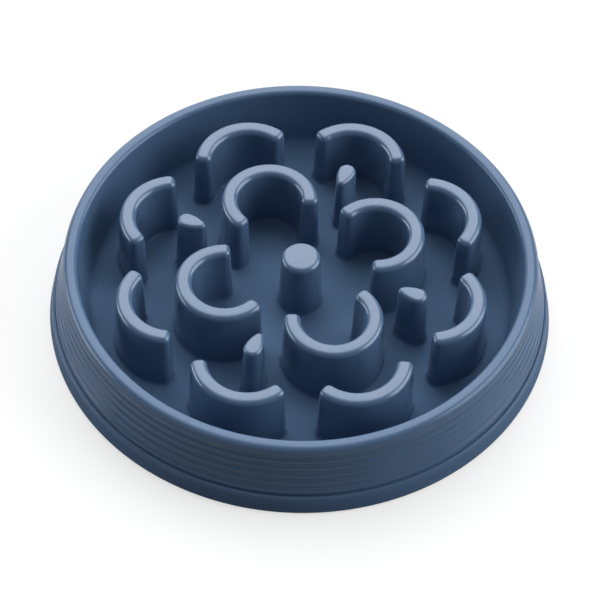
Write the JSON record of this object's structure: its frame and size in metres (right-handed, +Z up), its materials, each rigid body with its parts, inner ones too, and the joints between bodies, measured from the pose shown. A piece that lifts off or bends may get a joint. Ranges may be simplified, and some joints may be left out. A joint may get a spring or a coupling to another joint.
{
  "type": "slow feeder bowl",
  "caption": "Round pet bowl whose dish holds curved ridges and posts that slow eating down, with a ribbed outer skirt and rubber pads underneath.",
  "frame": {"origin": "middle of the surface that the bowl stands on, at the lower faces of the rubber pads", "axes": "+Z up along the axis of the bowl, +X through the middle of an inner and an outer ridge"},
  "size_m": [0.28, 0.28, 0.0451],
  "materials": {
    "body": "glossy moulded slate-blue plastic",
    "pad": "matt dark rubber"
  },
  "bodies": {
    "root": {"dish": "body", "inner_ridge_1": "body", "inner_ridge_2": "body", "inner_ridge_3": "body", "inner_ridge_4": "body", "outer_ridge_1": "body", "outer_ridge_2": "body", "outer_ridge_3": "body", "outer_ridge_4": "body", "outer_ridge_5": "body", "outer_ridge_6": "body", "outer_ridge_7": "body", "outer_ridge_8": "body", "drop_post_1": "body", "drop_post_2": "body", "drop_post_3": "body", "drop_post_4": "body", "centre_post": "body", "rubber_pad_1": "pad", "rubber_pad_2": "pad", "rubber_pad_3": "pad", "rubber_pad_4": "pad", "rubber_pad_5": "pad", "rubber_pad_6": "pad", "rubber_pad_7": "pad", "rubber_pad_8": "pad"}
  },
  "joints": []
}
